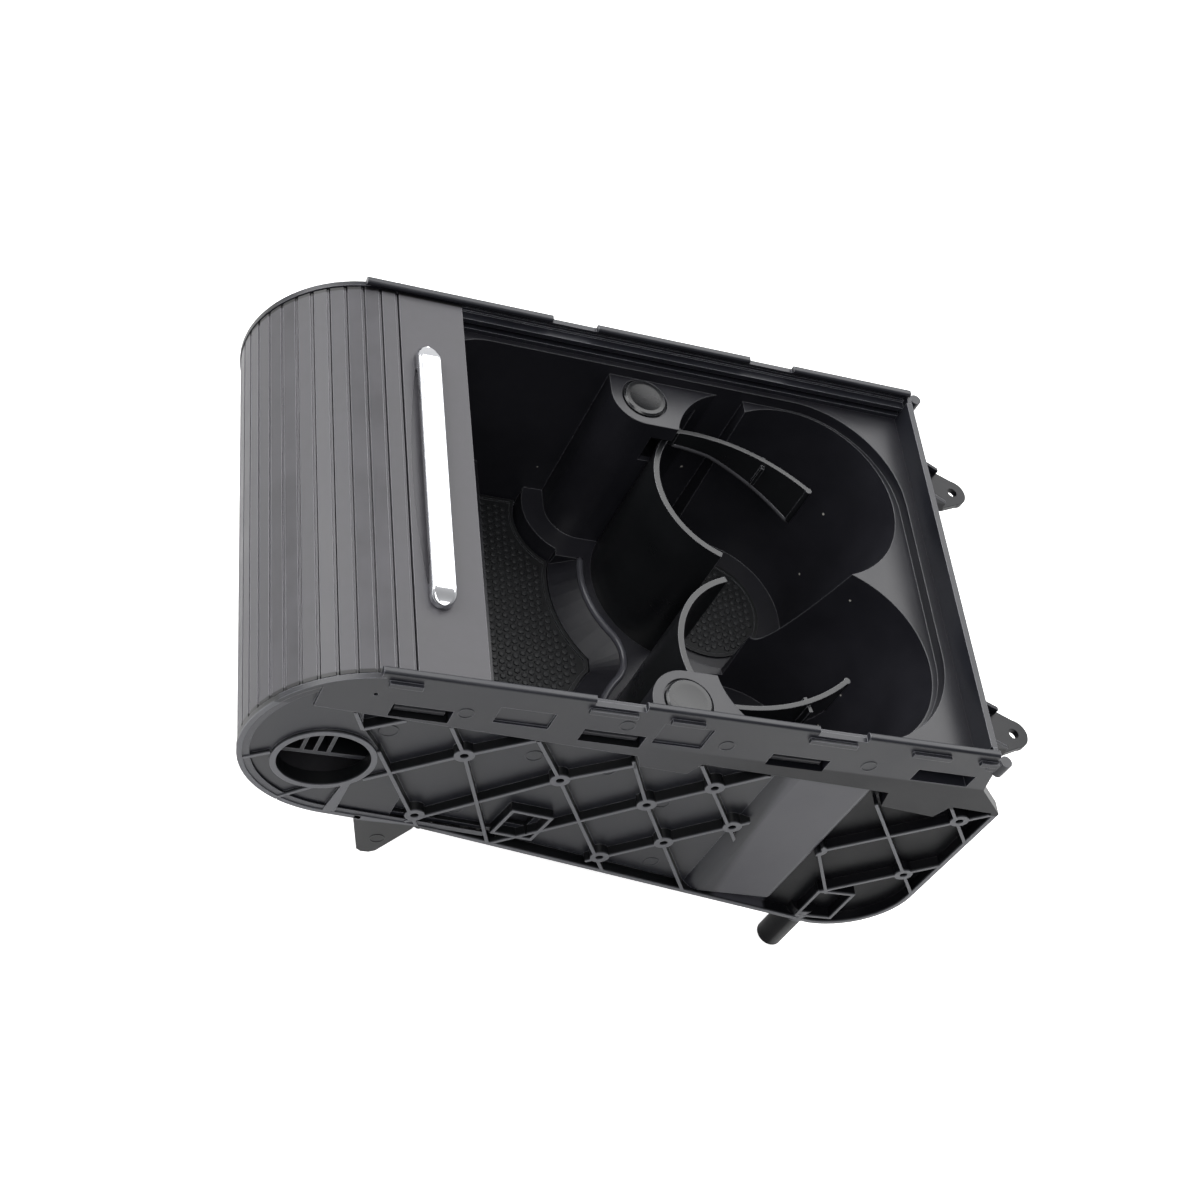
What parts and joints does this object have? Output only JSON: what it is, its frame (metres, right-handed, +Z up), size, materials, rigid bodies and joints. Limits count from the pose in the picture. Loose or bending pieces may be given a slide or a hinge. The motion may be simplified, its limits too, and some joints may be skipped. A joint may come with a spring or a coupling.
{
  "type": "car cup holder",
  "caption": "Console cup holder with a rolling slatted shutter, an open bin with storage pit and cup wells, sprung cup arms and ribbed side frames.",
  "frame": {"origin": "midway between the two rear lug holes, at the middle of the lugs' thickness", "axes": "+Z up along the lug holes, +X along the length from the round nose to the lugs, +Y across to the left side"},
  "size_m": [0.29, 0.1728, 0.1545],
  "materials": {
    "frame_plastic": "satin black moulded plastic",
    "bin_plastic": "near-black moulded plastic with a soft sheen",
    "mat_rubber": "matt black rubber with a fine bump pattern",
    "arm_plastic": "satin black moulded plastic",
    "plated_steel": "zinc plated steel",
    "shutter_plastic": "fine-grained charcoal plastic",
    "bright_chrome": "bright chrome plate",
    "shoe_plastic": "natural acetal"
  },
  "bodies": {
    "housing": {"side_frame_left": "frame_plastic", "side_frame_right": "frame_plastic", "rear_crossbeam": "frame_plastic", "front_tie_bar": "frame_plastic", "bin": "bin_plastic", "storage_mat": "mat_rubber", "cup_mat_left": "mat_rubber", "cup_mat_right": "mat_rubber", "divider_left": "arm_plastic", "divider_right": "arm_plastic", "pivot_cap_left": "arm_plastic", "pivot_cap_right": "arm_plastic", "pivot_pin_left": "plated_steel", "pivot_pin_right": "plated_steel", "arm_spring_left": "plated_steel", "arm_spring_right": "plated_steel", "slat_curtain": "shutter_plastic"},
    "shutter": {"lead_bar": "shutter_plastic", "finger_bar": "bright_chrome", "finger_bar_screws": "plated_steel", "guide_shoe_left": "shoe_plastic", "guide_shoe_right": "shoe_plastic"},
    "arm_left": {"cup_arm_left": "arm_plastic"},
    "arm_right": {"cup_arm_right": "arm_plastic"}
  },
  "joints": [
    {"name": "shutter_slide", "type": "slide", "parent": "housing", "child": "shutter", "axis": [1, 0, 0], "range_m": [0, 0.184], "deforming": ["slat_curtain"]},
    {"name": "arm_left_pivot", "type": "hinge", "parent": "housing", "child": "arm_left", "pos_m": [-0.137, 0.068, -0.005], "axis": [0, 0, 1], "range_deg": [0, 13], "stiffness_Nm_per_rad": 0.12, "springref_deg": -8.59},
    {"name": "arm_right_pivot", "type": "hinge", "parent": "housing", "child": "arm_right", "pos_m": [-0.137, -0.068, -0.005], "axis": [0, 0, -1], "range_deg": [0, 13], "stiffness_Nm_per_rad": 0.12, "springref_deg": -8.59}
  ]
}
